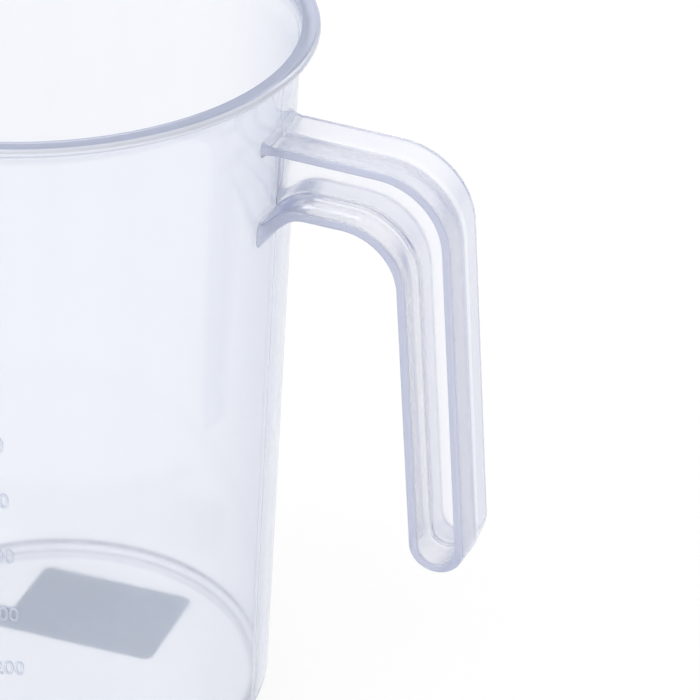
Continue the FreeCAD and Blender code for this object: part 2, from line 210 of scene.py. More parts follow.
def rim_radius(angle, z, inset):
    """Radius of the skin in one direction, beak included."""
    if z >= lip_under:
        body = outside_radius(lip_under) - inset
    else:
        body = outside_radius(z, max(inset, 0.0)) - min(inset, 0.0)
    if z <= spout_foot or abs(abs(angle) - math.pi) > beak_sector:
        return body
    share = min(1.0, (z - spout_foot) / spout_height)
    point = spout_sink + inset - straight_radius(spout_foot)
    section = [(point + (x - point) * share, y * share) for x, y in beak_outline(inset)]
    beak = ray_reach(section, angle)
    # The fillet where the beak leaves the wall fades out at the rim, share 1.
    blend = beak_fillet * (1.0 - share)
    if blend < 1e-6 or abs(beak - body) > blend:
        return max(body, beak)
    h = 0.5 + 0.5 * (beak - body) / blend
    return body * (1 - h) + beak * h + blend * h * (1 - h)


tip = rim_radius(math.pi, lip_under, 0.0)
print("the beak reaches %.2f mm from the axis, lip included %.2f" % (tip, tip + lip_overhang))

# %% [markdown]
# ## The vessel's profile
#
# A pitcher could be lathed with a Screw modifier, but the spout breaks the symmetry. So
# the profile is listed as rows, from the middle of the underside, round the wall and lip,
# and back to the middle of the floor. Plain rows are circles. Skin rows give a distance
# inward from the outside of the wall, so that they bulge where the beak does.

# %% Rows up the wall and round its corners
def spaced(start, step, count):
    """Evenly spaced numbers."""
    return [start + step * i for i in range(count)]


def bend_rows(radius, level, inset, steps=8):
    """Radius and height along a bend from a flat up to the wall."""
    centre_z = level + radius
    centre_r = straight_radius(centre_z) - (inset + radius) / out_x
    turns = [math.radians(-90.0 + (90.0 - draft) * i / steps) for i in range(steps + 1)]
    return [(centre_r + radius * math.cos(a), centre_z + radius * math.sin(a)) for a in turns]


outer_bend = bend_rows(corner_radius, 0.0, 0.0)
inner_bend = bend_rows(floor_radius, floor_top, wall)
# The recess inside the standing ring is only 0.3 mm deep. The skin runs flat across it,
# since a sharp step would draw a line that a moulded ring's soft edge doesn't.
underside = [(r, 0.0) for r in (13.0, 26.0, 39.0)]
floor_rows = [(inner_bend[0][0] * share, floor_top) for share in (0.97, 0.66, 0.33)]

# Rows lie far apart on the plain wall and close together along the beak and the flare.
flare_step = flare_height / 8
plain_heights = spaced(12.0, 10.0, 11)
beak_heights = spaced(118.0, 1.5, 23)
flare_heights = spaced(flare_start + flare_step, flare_step, 7)
heights = plain_heights + beak_heights + flare_heights
print("rows up the wall:", len(heights), "from", heights[0], "to", heights[-1], "mm")

# %% [markdown]
# The lip is a rolled edge: a half round outside, a flat top, and a soft inner edge. Its
# skin stays a hair inside the solid's, whose arcs are cut short by flat facets.

# %% Rows of the lip, and the whole profile
lip_hair = 0.015
lip_round = lip_height / 2.0
lip_centre = lip_overhang - lip_hair - lip_round    # middle of the round, out from the wall
round_turns = [math.radians(a) for a in spaced(-90.0, 15.0, 13)]

under_lip = [(-0.12, lip_under - 0.12), (-0.4, lip_under)]
half_round = [(-lip_centre - lip_round * math.cos(a),
               lip_under + lip_round + lip_round * math.sin(a)) for a in round_turns]
flat_top = [(inset, height) for inset in (-0.6, 0.2, 0.9)]
soft_edge = [(1.3, height - 0.04), (1.45, height - 0.15), (wall, height - 0.4)]
inside_lip = [(wall, lip_under + 0.6), (wall, lip_under)]
lip_rows = under_lip + half_round + flat_top + soft_edge + inside_lip

skin_rows = [(0.0, z) for z in heights] + lip_rows + [(wall, z) for z in heights[::-1]]
rows = [("plain", r, z) for r, z in underside + outer_bend]
rows += [("skin", inset, z) for inset, z in skin_rows]
rows += [("plain", r, z) for r, z in inner_bend[::-1] + floor_rows]
print("rows of the profile:", len(rows))

# %% [markdown]
# ## The vessel as one skin
#
# Each row is swept through the same directions, which lie closer together round the beak.
# Where the two halves of the mould meet, a hair of flash stands on the handle's side. It
# is finer than the spacing of the sweep, so a few extra directions shape it.

# %% Directions of the sweep
across_flash = [-0.6, -0.3, -0.15, 0.0, 0.15, 0.3, 0.6]
across_beak = spaced(156.0, 0.75, 64)
sweep_degrees = spaced(-156.0, 1.5, 104) + across_flash + spaced(1.5, 1.5, 103) + across_beak
angles = [math.radians(a) for a in sweep_degrees]

flash_height = 0.03
flash_half = math.radians(0.5)


def flash(angle, inset):
    """Height of the flash, which is on the outside only."""
    if inset > 0.0:
        return 0.0
    return flash_height * max(0.0, 1.0 - abs(angle) / flash_half)


print("directions:", len(angles), "flash at the middle:", flash(0.0, 0.0), "mm")

# %% [markdown]
# The sweep gives one closed skin, so light enters and leaves the plastic only at its real
# faces. Fans of triangles close the middle of the underside and of the floor.

# %% Sweep the rows into a mesh
def vessel_mesh():
    points = []
    for kind, size, z in rows:
        for a in angles:
            wrapped = (a + math.pi) % (2 * math.pi) - math.pi
            r = size
            if kind == "skin":
                r = rim_radius(wrapped, z, size) + flash(wrapped, size)
            points.append((r * math.cos(a), r * math.sin(a), z))
    count = len(angles)
    faces = grid_faces(len(rows), count, closed=True)
    under, over = len(points), len(points) + 1
    points += [(0, 0, rows[0][2]), (0, 0, rows[-1][2])]
    last = (len(rows) - 1) * count
    for j in range(count):
        k = (j + 1) % count
        faces.append((under, k, j))
        faces.append((over, last + j, last + k))
    return mesh_piece("vessel_skin", points, faces)


vessel = vessel_mesh()
print("vessel:", len(vessel.data.polygons), "faces")

# %% [markdown]
# ## The handle's line
#
# The handle is one strap bent like a hairpin: out from the wall, down the grip, round the
# open end and back up to the wall. It could be a curve with a bevel object, but the strap
# changes its thickness on the way, and a web fills the hairpin. So its line is worked out
# first, from straight runs whose corners are arcs.

# %% Sizes of the handle
handle_width = 16.0
strap = 1.9               # thickness at the strap's edges
crown = 0.50              # rise of its open face towards the middle
web_crown = 0.35          # rise of the face on the web's side
web = 1.3
handle_drop = 16.9        # lip's top to the outer arm's corner
arm_slope = 3.3           # fall of the outer arm, in degrees
grip_lean = 4.0           # lean of the grip, in degrees
outer_bend_radius = 16.4
grip_depth = 9.85         # outer to inner side of the grip
inner_drop = 12.2         # outer arm's corner down to the inner one's
inner_slope = 2.5         # fall of the inner arm, in degrees
inner_bend_radius = 14.3
end_height = 54.7         # table to the free end
neck_out = 8.5            # wall to the neck's bend
inner_run = 7.7           # straight part of the inner arm
neck_angle = 42.0         # fall of the neck towards the wall, in degrees
neck_radius = 5.6
neck_strap = 2.6          # thickness at the neck
foot_length = 2.2
foot_flare = 0.9


def heading(degrees):
    """Direction in the handle's plane; 0 points away from the wall, -90 down."""
    a = math.radians(degrees)
    return Vector((math.cos(a), 0, math.sin(a)))


def across(d):
    """Square to d in the handle's plane, to the right of someone who walks along d."""
    return Vector((d.z, 0, -d.x))


arm, down = heading(-arm_slope), heading(-90 + grip_lean)
inner_arm = heading(-inner_slope)
up, back = -down, -inner_arm
into_arm, into_grip = across(arm), across(down)
away, up_arm = across(up), across(back)
print("outer arm runs", arm, "and the grip", down)

# %% [markdown]
# The line is first set out with a sharp corner at each of its two bends. An arc that
# touches the runs before and after the corner then takes its place.

# %% Corners and their arcs
def corner_arc(corner, before, after, radius):
    """Start, end and centre of an arc in a corner."""
    turn = before.angle(after)
    run = radius * math.tan(turn / 2.0)
    centre = corner + (after - before).normalized() * (radius / math.cos(turn / 2.0))
    return corner - before * run, corner + after * run, centre


inner_z = height - handle_drop - inner_drop
inner_turn_run = inner_bend_radius * math.tan(up.angle(back) / 2.0)
reach = neck_out + (inner_run + inner_turn_run) * inner_arm.x
inner_corner = Vector((outside_radius(inner_z) + reach, 0, inner_z))
inner_a, inner_b, inner_centre = corner_arc(inner_corner, up, back, inner_bend_radius)

grip_side = inner_corner + into_grip * -grip_depth
outer_corner = grip_side + down * ((height - handle_drop - grip_side.z) / down.z)
outer_a, outer_b, outer_centre = corner_arc(outer_corner, arm, down, outer_bend_radius)
print("outer corner", outer_corner, "inner corner", inner_corner)

# %% [markdown]
# At the bottom, half a circle joins the two sides of the grip. The inner bend was set out
# on the web's side of the strap, so its ends are first moved over to the open face. At the
# wall, the outer arm runs straight in, and the inner one turns down through a bent neck.

# %% Free end, neck and roots
end_radius = (grip_depth + strap) / 2.0
end_line = outer_corner + into_grip * end_radius
end_centre = end_line + down * ((end_line.z - end_height - end_radius) / -down.z)
end_a = end_centre - into_grip * end_radius
end_b = end_centre + into_grip * end_radius

inner_a_open = inner_a - away * strap
inner_b_open = inner_b - up_arm * strap
neck_turn = math.radians(neck_angle + inner_slope)
neck_spin = Matrix.Rotation(-neck_turn, 3, "Y")
neck_a = inner_b_open + back * inner_run
neck_centre = neck_a - up_arm * neck_radius
neck_b = neck_centre + neck_spin @ (neck_a - neck_centre)
neck_in = neck_spin @ up_arm
neck_run = Vector((-neck_in.z, 0, neck_in.x))


def to_wall(point, direction):
    """Run from a point in the handle's plane to the outside of the wall."""
    rate = direction.x - slope * direction.z
    return (base_radius - (point.x - slope * point.z)) / rate


inner_root = neck_b + neck_run * to_wall(neck_b + neck_in * neck_strap / 2, neck_run)
inner_foot = inner_root - neck_run * foot_length
outer_root = outer_corner - arm * to_wall(outer_corner + into_arm * strap / 2, -arm)
outer_foot = outer_root + arm * foot_length
print("roots on the wall at", round(outer_root.z, 1), "and", round(inner_root.z, 1), "mm")

# %% [markdown]
# ## Stations along the strap
#
# Each station holds a point on the strap's open face, the direction in towards the web,
# and the thickness there. One station lies in the middle of the open end. Both sides of it
# get the same number of stations, so that each has a partner across the web.

# %% Stations along the strap
def straight(a, b, inward, count, thick=strap):
    """Stations on a straight run, without the last one."""
    return [(a.lerp(b, i / count), inward, thick) for i in range(count)]


def turned(a, centre, start_inward, angle, count, thick_end=strap):
    """Stations round a bend, without the last one; angle is about +Y, in radians."""
    stations = []
    for i in range(count):
        spin = Matrix.Rotation(angle * i / count, 3, "Y")
        stations.append((centre + spin @ (a - centre), spin @ start_inward,
                         strap + (thick_end - strap) * i / count))
    return stations


arm_steps, bend_steps, leg_steps, end_steps = 26, 28, 16, 20
run_steps, neck_steps, foot_steps = 9, 14, 3
outer_half = straight(outer_foot, outer_a, into_arm, arm_steps)
outer_half += turned(outer_a, outer_centre, into_arm, arm.angle(down), bend_steps)
outer_half += straight(outer_b, end_a, into_grip, leg_steps)
outer_half += turned(end_a, end_centre, into_grip, math.pi / 2, end_steps)
inner_half = turned(end_a, end_centre, into_grip, math.pi, 2 * end_steps)[end_steps:]
inner_half += straight(end_b, inner_a_open, away, leg_steps)
inner_half += turned(inner_a_open, inner_centre, away, -up.angle(back), bend_steps)
inner_half += straight(inner_b_open, neck_a, up_arm, run_steps)
inner_half += turned(neck_a, neck_centre, up_arm, -neck_turn, neck_steps, neck_strap)
inner_half += straight(neck_b, inner_foot, neck_in, foot_steps, neck_strap)
inner_half += [(inner_foot, neck_in, neck_strap)]
stations = outer_half + inner_half
print("stations:", len(outer_half), "outer,", len(inner_half), "from the middle one on")

# %% [markdown]
# ## The strap's section
#
# Both faces of the strap are drafted from the parting line, where the mould halves meet,
# so it has a slight roof shape. Its long edges are softened, and it runs into the web
# through small fillets. The section is an open chain: it starts on one side of the web,
# goes round the strap and ends on the other side.

# %% Section of the strap
edge_round = 0.42
web_fillet = 0.8
ridge_half = 0.06         # half of the flat on the open face's ridge
open_lean = 0.05          # how far the normals of the open face lean to its side
quarter = [math.radians(a) for a in spaced(0.0, 22.5, 5)]


def section(thick):
    """(offset from the open face, y, normal) round the strap, from web side to web side."""
    half = handle_width / 2.0
    roof = math.atan2(web_crown, half)
    chain = []
    for a in quarter:
        y = web / 2 + web_fillet * (1 - math.cos(a))
        offset = thick + web_crown * (1 - y / half) + web_fillet * (1 - math.sin(a))
        chain.append((offset, y, (math.sin(a), math.cos(a))))
    for y in (3.0, 5.0, 7.0, half - edge_round - 0.2):
        chain.append((thick + web_crown * (1 - y / half), y, (1.0, roof)))
    for a in quarter:
        offset = thick - edge_round * (1 - math.cos(a))
        chain.append((offset, half - edge_round * (1 - math.sin(a)), (math.cos(a), math.sin(a))))
    for a in quarter:
        offset = edge_round * (1 - math.sin(a))
        chain.append((offset, half - edge_round * (1 - math.cos(a)), (-math.sin(a), math.cos(a))))
    for y in (7.0, 5.0, 3.0, 1.0, 0.28, 0.12):
        chain.append((-crown * (1 - y / half), y, (-1.0, open_lean)))
    chain.append((-crown, ridge_half, (-1.0, 0.0)))
    return chain + [(o, -y, (n[0], -n[1])) for o, y, n in reversed(chain)]


def strap_points(station):
    point, inward, thick = station
    return [point + inward * o + Vector((0, y, 0)) for o, y, _ in section(thick)]


print("points round the strap:", len(section(strap)))

# %% [markdown]
# ## Roots of the handle
#
# Each arm opens like a small trumpet just before the wall, which spreads the load of a
# full pitcher. The last rings of points are run along the arm until they lie on the round
# wall, and a little further, so that no gap shows.

# %% Flared roots on the wall
root_steps = 7
root_sink = 0.12          # how far a root runs into the wall


def wall_run(point, direction):
    """Run along a direction until the point lies on the round wall."""
    run = 0.0
    for _ in range(12):
        p = point + direction * run
        gap = math.hypot(p.x, p.y) - straight_radius(p.z)
        run += gap / max(0.2, -(direction.x - slope * direction.z))
    return run


def root_rings(station, direction):
    """Rings of points from a foot down to the wall."""
    point, inward, thick = station
    rings = []
    for i in range(1, root_steps + 1):
        turn = math.radians(90.0 * i / root_steps)
        spread = foot_flare * (1.0 - math.cos(turn))
        ring = []
        for o, y, normal in section(thick):
            start = point + inward * o + Vector((0, y, 0))
            # The flare grows along the section's normals.
            end = start + inward * normal[0] * spread + Vector((0, normal[1] * spread, 0))
            run = wall_run(end, direction) + root_sink
            ring.append(end + direction * run * math.sin(turn))
        rings.append(ring)
    return rings


outer_rings = root_rings(stations[0], -arm)
inner_rings = root_rings(stations[-1], neck_run)
rings = outer_rings[::-1] + [strap_points(s) for s in stations] + inner_rings
print(len(rings), "rings of", len(rings[0]), "points")

# %% [markdown]
# ## The handle as one skin
#
# Sweeping the section along the stations gives the strap. The web could be a plate of its
# own, but its edges would show inside the clear strap. So each ring's two free ends are
# joined to those of its partner across the hairpin, and strap and web are one skin.

# %% Join the rings into the handle
def web_faces(count, width):
    """Faces of the web, from each ring's free ends to its partner's."""
    faces = []
    last = width - 1
    for i in range(count // 2):
        a, b = i * width, (i + 1) * width
        c, d = (count - 2 - i) * width, (count - 1 - i) * width
        if c > b:
            faces.append((a, b, c, d))
            faces.append((a + last, d + last, c + last, b + last))
        elif c == b:
            faces.append((a, b, d))
            faces.append((a + last, d + last, b + last))
    return faces


count, width = len(rings), len(rings[0])
handle = mesh_piece("handle_skin", [point for ring in rings for point in ring],
                    grid_faces(count, width, closed=False) + web_faces(count, width))
print("handle:", len(handle.data.polygons), "faces")

# %% [markdown]
# ## Camera
#
# The view looks down at the rim and the handle from the front right, and only part of
# the vessel is in the picture, so a long lens is used. The camera is set from the
# directions of its own axes, which keeps a small roll that a target alone can't give.

# %% Place the camera
eye = Vector((270.91, -569.40, 450.78)) * MM
azimuth, elevation, roll = [math.radians(a) for a in (19.546, 30.256, -0.982)]
right = Vector((math.cos(azimuth), math.sin(azimuth), 0))
behind = Vector((math.sin(azimuth) * math.cos(elevation),
                 -math.cos(azimuth) * math.cos(elevation), math.sin(elevation)))
upward = behind.cross(right)
camera_x = right * math.cos(roll) - upward * math.sin(roll)
camera_y = right * math.sin(roll) + upward * math.cos(roll)

lens = bpy.data.cameras.new("camera")
lens.lens = 178.22
lens.sensor_width = 36.0
lens.clip_start = 0.01
camera = bpy.data.objects.new("camera", lens)
camera.matrix_world = Matrix((
    (camera_x.x, camera_y.x, behind.x, eye.x),
    (camera_x.y, camera_y.y, behind.y, eye.y),
    (camera_x.z, camera_y.z, behind.z, eye.z),
    (0, 0, 0, 1)))
bpy.context.scene.collection.objects.link(camera)
bpy.context.scene.camera = camera
print("camera at", camera.location)

# %% [markdown]
# ## A short way to write shaders
#
# A material is a graph of nodes. Each node takes three or four lines to make, set and
# link, which hides what the graph is for. This small class keeps a graph's nodes and
# links, so that a ramp or a product is one short call.

# %% Shader graph
class ShaderGraph:
    """The nodes of a material or a world."""

    def __init__(self, owner):
        owner.use_nodes = True
        self.nodes = owner.node_tree.nodes
        self.links = owner.node_tree.links

    def feed(self, node, values):
        """Set a node's inputs; a value that is another node's output is linked."""
        for name, value in values.items():
            if isinstance(value, bpy.types.NodeSocket):
                self.links.new(value, node.inputs[name])
            else:
                node.inputs[name].default_value = value

    def add(self, kind, values=None, **settings):
        """A new node with its settings and inputs."""
        node = self.nodes.new("ShaderNode" + kind)
        for name, value in settings.items():
            setattr(node, name, value)
        self.feed(node, values or {})
        return node

    def math(self, operation, *values):
        return self.add("Math", dict(enumerate(values)), operation=operation).outputs[0]

    def pairwise(self, operation, total, *others):
        for other in others:
            total = self.math(operation, total, other)
        return total

    def times(self, *values):
        return self.pairwise("MULTIPLY", *values)

    def most(self, *values):
        return self.pairwise("MAXIMUM", *values)

    def ramp(self, value, low, high, at_low=0.0, at_high=1.0):
        """A smooth step from at_low to at_high while value runs from low to high."""
        values = {"Value": value, "From Min": low, "From Max": high,
                  "To Min": at_low, "To Max": at_high}
        return self.add("MapRange", values, interpolation_type="SMOOTHSTEP").outputs["Result"]

    def line_at(self, value, middle, half, amount):
        """A soft line of the given amount where value passes its middle."""
        off = self.math("ABSOLUTE", self.math("SUBTRACT", value, middle))
        return self.ramp(off, half * 0.35, half, amount, 0.0)

    def tint(self, factor, first, second):
        """A colour from the first, at factor 0, to the second, at 1."""
        values = {"Factor": factor, "A": (*first, 1), "B": (*second, 1)}
        return self.add("Mix", values, data_type="RGBA").outputs["Result"]

    def noise(self, place, scale, detail):
        values = {"Vector": place, "Scale": scale, "Detail": detail}
        return self.add("TexNoise", values).outputs["Fac"]

    def bump(self, lift, distance, strength):
        values = {"Height": lift, "Distance": distance, "Strength": strength}
        return self.add("Bump", values).outputs["Normal"]


def new_material(name):
    """A material, its graph and its Principled shader."""
    material = bpy.data.materials.new(name)
    graph = ShaderGraph(material)
    return material, graph, graph.nodes["Principled BSDF"]


print("graph helpers:", [name for name in vars(ShaderGraph) if not name.startswith("_")])

# %% [markdown]
# ## Clear polypropylene
#
# Natural polypropylene is clear but never as bright as glass. It bends light with an
# index near 1.49, has a faint violet cast, and its tiny crystals scatter some light. A
# thin wall shows that only as a milky veil, while the lip and the edges of the strap,
# where light travels far inside the plastic, turn lavender. A real volume would give
# both, at a great cost in samples, so the depth of plastic is told to the shader instead:
# a number from 0, thin, to 1, thick, sets the colour and how much light goes through.
# Some places, such as the lip's round, also turn milky. The depths are chosen.

# %% Depth of plastic in the lip, and painted shade under the lip and at the floor's corner
def gap_to_wall(graph, x, y, z):
    """Distance outward from the outside of the straight wall."""
    radius = graph.math("SQRT", graph.math("ADD", graph.times(x, x), graph.times(y, y)))
    here = graph.math("ADD", graph.times(z, slope), base_radius)
    return graph.math("SUBTRACT", radius, here)


def lip_depth(graph, z, gap):
    """The lip is thickest on its flat top and under its round, which also has painted shade."""
    inner_edge = graph.times(graph.ramp(z, height - 0.8, height - 0.6), graph.ramp(gap, 0.9, 0.6))
    flat_top = graph.ramp(z, height - 0.2, height - 0.03)
    # Under the round: thick plastic, plus painted shade on its underside and on the wall just
    # below.
    round_depth_and_shade = graph.ramp(z, height - 1.1, height - 1.6, 0.34, 0.75)
    lip = graph.times(graph.most(inner_edge, flat_top, round_depth_and_shade),
                      graph.ramp(z, lip_under - 1.1, lip_under - 0.3))
    # The wall below is thinner; its last 4 mm under the lip get a painted shadow, darkest near the
    # lip.
    return graph.most(lip, graph.ramp(z, lip_under - 4.0, lip_under - 2.0, 0.0, 0.2))


def lip_milk(graph, z, gap):
    """The lip's outer round scatters more light."""
    return graph.times(graph.ramp(z, lip_under - 0.5, lip_under - 0.3),
                       graph.ramp(z, height - 0.03, height - 0.15, 0.0, 0.5),
                       graph.ramp(gap, 2.5, 2.9))


def corner_depth(graph, z, gap):
    """Painted shade lines at both ends of the floor's bend, and a faint deeper tint between them.
    """
    bend_top = floor_top + floor_radius
    bend_foot = -wall - floor_radius
    # Painted shade: dark lines where the bend meets the wall and where it meets the floor.
    upper_end = graph.line_at(z, bend_top, 0.9, 0.95)
    flat_end = graph.most(graph.line_at(gap, bend_foot, 0.7, 0.75),
                          graph.ramp(gap, bend_foot, bend_foot + 0.2, 0.0, 0.22))
    low = graph.ramp(z, bend_top + 0.3, bend_top - 0.1)
    inside = graph.ramp(gap, -0.9, -1.2)
    return graph.times(graph.most(upper_end, graph.times(flat_end, low)), inside)


print("floor's corner between", floor_top, "and", floor_top + floor_radius, "mm")

# %% [markdown]
# On the handle's side, two fine things run down the middle of the wall: the parting line,
# and between the arms the end of the web, which shows through. The sides of the raised
# scale catch light too, as they are steeper than the wall.

# %% Depth of plastic and painted shade in the vessel
web_low, web_high = 128.5, 140.5      # ends of the web on the wall


def parting_depth(graph, x, y, z, gap):
    """The parting line and the end of the web, seen on the outside of the wall."""
    side = graph.math("ABSOLUTE", y)
    web_end = graph.times(graph.ramp(side, 0.8, 0.6, 0.0, 0.75),
                          graph.ramp(z, web_low - 1.5, web_low),
                          graph.ramp(z, web_high + 1.0, web_high))
    parting = graph.ramp(side, 0.5, 0.2, 0.0, 0.6)
    return graph.times(graph.most(web_end, parting), graph.ramp(x, 45.0, 47.0),
                       graph.ramp(gap, -0.8, -0.5))


def line_side(graph, y, z, gap):
    """1 on the slanted sides of the scale's lines."""
    return graph.times(graph.line_at(gap, 0.13, 0.12, 1.0), graph.ramp(y, -40.0, -42.0),
                       graph.ramp(z, 150.0, 149.0))


def vessel_depth(graph, x, y, z):
    """Depth, painted shade and milkiness of the vessel and the lines of its scale."""
    gap = gap_to_wall(graph, x, y, z)
    sides = line_side(graph, y, z, gap)
    # Painted shade from the lip and the floor's corner joins the real depth here.
    depth_and_shade = graph.most(lip_depth(graph, z, gap), corner_depth(graph, z, gap),
                       parting_depth(graph, x, y, z, gap), graph.times(sides, 0.7))
    milk = graph.most(lip_milk(graph, z, gap), graph.times(sides, 0.3))
    return depth_and_shade, milk


print("the web's end shows on the wall from", web_low, "to", web_high, "mm")

# %% [markdown]
# The handle is clear in its thin web, and deeper in colour along the strap's edges and at
# its roots. The strap deepens outward from the wall. A numeral's face is as clear as the
# wall, and its sides are deep, so that the digits read.

# %% Depth of plastic in the handle and the numerals
def handle_depth(graph, x, y, z):
    """Depth of the handle, which has no milky places."""
    half = handle_width / 2.0
    side = graph.math("ABSOLUTE", y)
    web_to_strap = graph.times(graph.ramp(side, 0.66, 0.95), graph.ramp(x, 86.0, 94.0, 0.05, 0.56))
    edge = graph.ramp(side, half - 0.5, half - 0.1)
    root = graph.ramp(gap_to_wall(graph, x, y, z), 1.4, 0.2, 0.0, 0.4)
    return graph.most(web_to_strap, edge, root), 0.0


def numeral_depth(graph, x, y, z):
    """Depth of the numerals, which have no milky places."""
    gap = gap_to_wall(graph, x, y, z)
    return graph.times(graph.ramp(gap, -0.02, 0.02), graph.ramp(gap, 0.35, 0.31)), 0.0


print("the strap's edges lie", handle_width / 2.0, "mm from the web's middle")

# %% [markdown]
# ## The plastic's shader
#
# One Principled shader does for all the clear pieces. Its transmission falls and its colour
# deepens with the depth of plastic, which on the vessel also holds painted shade under the
# lip and at the floor's corner. A wall that is seen at a slant has more plastic in the line
# of sight, and the walls' colour gets a little darker toward the rim. Noise that is
# stretched along Z gives the faint flow lines which run up a moulded wall, and fine noise
# varies the gloss. The haze lies in the skin that faces out: light that is already inside
# passes it clean, as it would otherwise meet the haze again at each reflection.

# %% A clear plastic material
flow_stretch = (70, 70, 3.0)      # flow lines are long in Z
bluish = (0.70, 0.79, 1.0, 1)     # light that the skin scatters at a slant


def clear_plastic(name, depth_and_shade_of, thin, thick, clear_thin, clear_thick, slant, rim_darkening,
                  roughness, ripple):
    """thin to thick are colours and clear_thin to clear_thick transmissions, by depth."""
    material, graph, shader = new_material(name)
    place = graph.add("TexCoord").outputs["Object"]
    in_mm = graph.add("VectorMath", {0: place, "Scale": 1 / MM}, operation="SCALE").outputs[0]
    split = graph.add("SeparateXYZ", {0: in_mm})
    # For the vessel this also holds painted shade under the lip and at the floor's corner.
    depth_and_shade, milk = depth_and_shade_of(graph, *split.outputs)
    facing = graph.add("LayerWeight", {"Blend": 0.5}).outputs["Facing"]
    slanted = graph.ramp(facing, 0.25, 0.85, 0.0, slant)
    # The colour gets a little darker with height, toward the rim.
    rim_darkened = graph.ramp(split.outputs["Z"], 30.0, 110.0, 0.0, rim_darkening)
    depth_and_shade = graph.most(depth_and_shade, graph.math("ADD", slanted, rim_darkened))

    stretched = graph.add("Mapping", {"Vector": place, "Scale": flow_stretch}).outputs["Vector"]
    haze = graph.ramp(graph.noise(stretched, 1.4, 3.0), 0.3, 0.7, 0.01, -0.01)
    clear = graph.math("SUBTRACT", graph.ramp(depth_and_shade, 0.5, 1.0, clear_thin, clear_thick), milk)
    from_inside = graph.add("NewGeometry").outputs["Backfacing"]
    gloss = graph.noise(place, 900.0, 2.0)
    graph.feed(shader, {
        "Base Color": graph.tint(depth_and_shade, thin, thick),
        "Transmission Weight": graph.most(graph.math("ADD", clear, haze), from_inside),
        "Roughness": graph.ramp(gloss, 0.2, 0.8, roughness * 0.75, roughness * 1.3),
        "Normal": graph.bump(graph.noise(place, 45.0, 1.0), ripple * MM, 0.5),
        "IOR": 1.49,
        "Specular IOR Level": 0.3,
        "Sheen Weight": 0.3,
        "Sheen Roughness": 0.4,
        "Sheen Tint": bluish})
    return material


# %% [markdown]
# The vessel is glossy with a slight ripple, and the handle is satin, as grips often are.
# Three materials could share one group of nodes, but a function with its values written
# out is easier to read and to change. The numerals' sides pass the least light.

# %% Three finishes of the same plastic
wall_tint = (0.944, 0.957, 0.994)
vessel_plastic = clear_plastic(
    "clear_vessel", vessel_depth, thin=wall_tint, thick=(0.44, 0.47, 0.59), clear_thin=0.91,
    clear_thick=0.45, slant=0.32, rim_darkening=0.035, roughness=0.06, ripple=0.004)
handle_plastic = clear_plastic(
    "clear_handle", handle_depth, thin=(0.950, 0.958, 1.0), thick=(0.53, 0.55, 0.68),
    clear_thin=0.88, clear_thick=0.42, slant=0.0, rim_darkening=0.0, roughness=0.17, ripple=0.0)
numeral_plastic = clear_plastic(
    "clear_numerals", numeral_depth, thin=wall_tint, thick=(0.48, 0.53, 0.66), clear_thin=0.91,
    clear_thick=0.15, slant=0.32, rim_darkening=0.035, roughness=0.06, ripple=0.0)
vessel.data.materials.append(vessel_plastic)
handle.data.materials.append(handle_plastic)
print("plastics:", vessel_plastic.name, handle_plastic.name, numeral_plastic.name)

# %% [markdown]
# ## The raised scale
#
# The scale is cut into the mould. Its lines stand a quarter of a millimetre proud of the
# wall, at the heights that a liquid reaches. The vessel has a taper, so those heights are
# found by filling it slice by slice.

# %% Heights of the lines
def filled_height(volume_ml):
    """Height of the liquid for a volume, in thin slices."""
    wanted = volume_ml * 1000.0
    z, held, step = floor_top, 0.0, 0.05
    while held < wanted:
        radius = straight_radius(z + step / 2.0) - wall
        area = math.pi * radius ** 2
        held += area * step
        z += step
    return z - (held - wanted) / area


levels = [(ml, filled_height(ml)) for ml in range(100, 1001, 50)]
print("lines at", [(ml, round(z, 1)) for ml, z in levels])

# %% [markdown]
# A line is a short bar with slanted sides, bent along the wall. It could be projected on
# the wall with a Shrinkwrap modifier, but one function that wraps a point round the cone
# is exact, and serves the numerals too.

# %% Lines wrapped on the wall
line_rise, line_width = 0.25, 0.5
line_slant = 0.08         # width of a line's slanted side
scale_sink = 0.03         # how far lines and numerals run into the wall
long_line, short_line = 11.0, 6.0
line_steps = 10


def on_wall(along, z, rise):
    """Point on the scale's side, at a distance along the wall from its middle."""
    radius = straight_radius(z)
    turn = along / radius
    return ((radius + rise) * math.sin(turn), -(radius + rise) * math.cos(turn), z)


def scale_mesh():
    side = line_width / 2
    cross = [(-side, -scale_sink), (-side + line_slant, line_rise),
             (side - line_slant, line_rise), (side, -scale_sink)]
    points, faces = [], []
    for ml, z in levels:
        half = (long_line if ml % 100 == 0 else short_line) / 2
        first = len(points)
        last = first + 4 * line_steps
        for i in range(line_steps + 1):
            along = -half + 2 * half * i / line_steps
            points += [on_wall(along, z + dz, rise) for dz, rise in cross]
        faces += grid_faces(line_steps + 1, 4, closed=True, first=first)
        faces.append((first + 3, first + 2, first + 1, first))
        faces.append((last, last + 1, last + 2, last + 3))
    return mesh_piece("scale_lines", points, faces, smooth=False)


scale_lines = scale_mesh()
scale_lines.data.materials.append(vessel_plastic)
print("lines:", len(scale_lines.data.polygons), "faces")

# %% [markdown]
# ## The numerals
#
# The numerals stand a little prouder than the lines and have slanted sides. They start as
# flat text, whose outline is plain digits, and each point of their mesh is then wrapped
# round the wall, so that they follow its curve and its lean. Their height over a line
# varies a little, as if set by hand, and their right ends move in as they go up.

# %% Numerals wrapped on the wall
numeral_size = 5.0
numeral_narrow = 0.86     # width of a digit, as a share of the plain text's
numeral_core, numeral_bevel = 0.08, 0.12
numeral_right = 16.2      # right end of the 200, along the wall
numeral_creep = 0.0033    # how far the right end moves in for each millilitre
numeral_lift = {200: 3.8, 300: 3.5, 400: 4.3, 500: 4.4, 600: 4.6}
other_lift = 4.0


